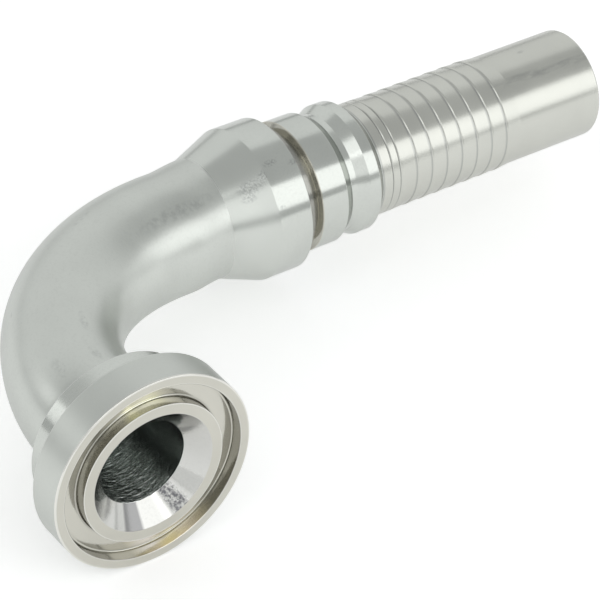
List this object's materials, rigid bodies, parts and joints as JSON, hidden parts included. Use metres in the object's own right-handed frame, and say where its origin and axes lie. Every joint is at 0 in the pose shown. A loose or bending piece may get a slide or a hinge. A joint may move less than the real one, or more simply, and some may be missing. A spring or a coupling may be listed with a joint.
{
  "type": "hydraulic flange",
  "caption": "Quarter-turn hose fitting: split-clamp flange head with a seal ring groove and countersunk bore, bent tube, collar, lock ridges and barbed hose stem.",
  "frame": {"origin": "centre of the flange head's sealing face, on the bore's axis", "axes": "-Y out of the sealing face along the flange axis, +X along the hose stem towards its open end, +Z square to the plane of the bend"},
  "size_m": [0.1753, 0.0818, 0.0444],
  "materials": {
    "zinc_steel": "satin"
  },
  "bodies": {
    "root": {"flange_elbow_fitting": "zinc_steel"}
  },
  "joints": []
}
